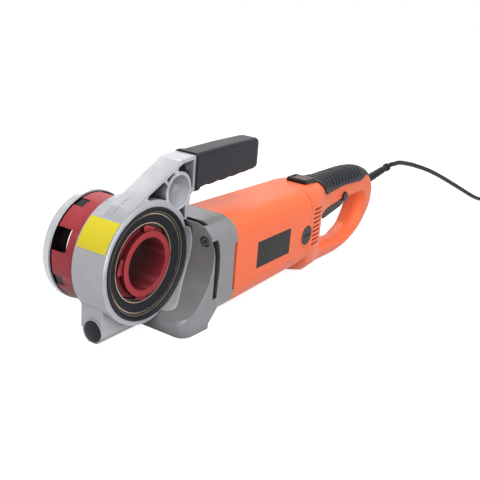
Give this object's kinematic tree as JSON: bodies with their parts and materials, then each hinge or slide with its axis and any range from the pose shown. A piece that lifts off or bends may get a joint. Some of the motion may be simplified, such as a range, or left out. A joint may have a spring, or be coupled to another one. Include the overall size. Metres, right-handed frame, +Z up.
{
  "type": "electric pipe threader",
  "caption": "Hand-held electric pipe threader: cast ring-drive head with a round die head, barrel motor housing, D-shaped rear handle with trigger, side grip and mains lead.",
  "frame": {"origin": "ground point under the middle of the tool's bounding box, lead left out", "axes": "+X from the die head towards the rear handle, +Y along the pipe axis towards the die head's cover plate, +Z up"},
  "size_m": [1.2388, 0.327, 0.2079],
  "materials": {
    "cast_aluminium": "satin cast",
    "gear_case": "satin cast",
    "steel": "machined",
    "dark_steel": "blackened",
    "brass": "satin",
    "bronze": "oiled",
    "copper": "machined",
    "carbon": "pressed",
    "red_steel": "semi-gloss paint",
    "silver_cover": "plated",
    "orange_plastic": "moulded, semi-gloss",
    "black_plastic": "moulded",
    "black_rubber": "moulded",
    "seal_rubber": "moulded",
    "red_plastic": "moulded",
    "nameplate_grey": "satin",
    "cord_rubber": "smooth",
    "laminations": "varnished"
  },
  "bodies": {
    "machine": {"head_casting": "cast_aluminium", "gear_housing": "gear_case", "bearing_retainer": "steel", "motor_bearing_front": "steel", "motor_bearing_rear": "steel", "grip_stud": "steel", "rocker_pin": "steel", "housing_screw": "dark_steel", "handle_screw_low_front": "dark_steel", "handle_screw_high_front": "dark_steel", "handle_screw_high_back": "dark_steel", "handle_screw_low_back": "dark_steel", "front_ring_bearing": "bronze", "rear_ring_bearing": "bronze", "layshaft_bearing_front": "bronze", "layshaft_bearing_rear": "bronze", "brush_near": "carbon", "brush_far": "carbon", "plug_pin_left": "silver_cover", "plug_pin_right": "silver_cover", "motor_housing": "orange_plastic", "rear_housing_near": "orange_plastic", "rear_housing_far": "orange_plastic", "switch_pod": "black_plastic", "switch_module": "black_plastic", "brush_cap_near": "black_plastic", "brush_cap_far": "black_plastic", "side_grip": "black_rubber", "grip_overmould": "black_rubber", "foot_plug": "black_rubber", "strain_relief": "black_rubber", "outer_seal": "seal_rubber", "nameplate": "nameplate_grey", "cord": "cord_rubber", "cord_coil": "cord_rubber", "plug_body": "cord_rubber", "stator": "laminations"},
    "drive_ring_group": {"drive_ring": "steel", "ring_cup": "brass", "face_seal": "seal_rubber", "ring_gear": "steel"},
    "die_head": {"die_head_body": "red_steel", "chaser_1": "dark_steel", "chaser_2": "dark_steel", "chaser_3": "dark_steel", "chaser_4": "dark_steel", "cover_plate": "silver_cover", "cover_screw_1": "dark_steel", "cover_screw_2": "dark_steel", "cover_screw_3": "dark_steel", "cover_screw_4": "dark_steel"},
    "layshaft_group": {"layshaft": "steel", "reduction_gear": "steel"},
    "armature": {"armature_shaft": "steel", "armature_core": "laminations", "commutator": "copper", "cooling_fan": "black_plastic"},
    "trigger_lever": {"trigger": "black_plastic"},
    "lock_push": {"lock_button": "black_plastic"},
    "rocker": {"direction_rocker": "red_plastic"}
  },
  "joints": [
    {"name": "ring_spin", "type": "hinge", "parent": "machine", "child": "drive_ring_group", "pos_m": [-0.27201, -0.0283, 0.0863], "axis": [0, 1, 0], "continuous": true},
    {"name": "die_head_slide", "type": "slide", "parent": "drive_ring_group", "child": "die_head", "axis": [0, 1, 0], "range_m": [0, 0.06]},
    {"name": "layshaft_spin", "type": "hinge", "parent": "machine", "child": "layshaft_group", "pos_m": [-0.27201, -0.00681, 0.0863], "axis": [0.9994, 0, 0.036], "continuous": true},
    {"name": "armature_spin", "type": "hinge", "parent": "machine", "child": "armature", "pos_m": [-0.27123, -0.0247, 0.06461], "axis": [0.9994, 0, 0.036], "continuous": true},
    {"name": "trigger_pull", "type": "hinge", "parent": "machine", "child": "trigger_lever", "pos_m": [0.19642, -0.0247, 0.08265], "axis": [0, 1, 0], "range_deg": [0, 6], "stiffness_Nm_per_rad": 2, "springref_deg": -5.73},
    {"name": "lock_button_press", "type": "slide", "parent": "machine", "child": "lock_push", "axis": [0, 1, 0], "range_m": [0, 0.0025], "stiffness_N_per_m": 600, "springref_m": -0.001},
    {"name": "direction_rocker_tilt", "type": "hinge", "parent": "machine", "child": "rocker", "pos_m": [0.06151, -0.0247, 0.13483], "axis": [0, 1, 0], "range_deg": [-8, 8]}
  ],
  "couplings": [
    {"joint": "layshaft_spin", "follows": "ring_spin", "ratio": -7},
    {"joint": "armature_spin", "follows": "ring_spin", "ratio": 19.25}
  ]
}
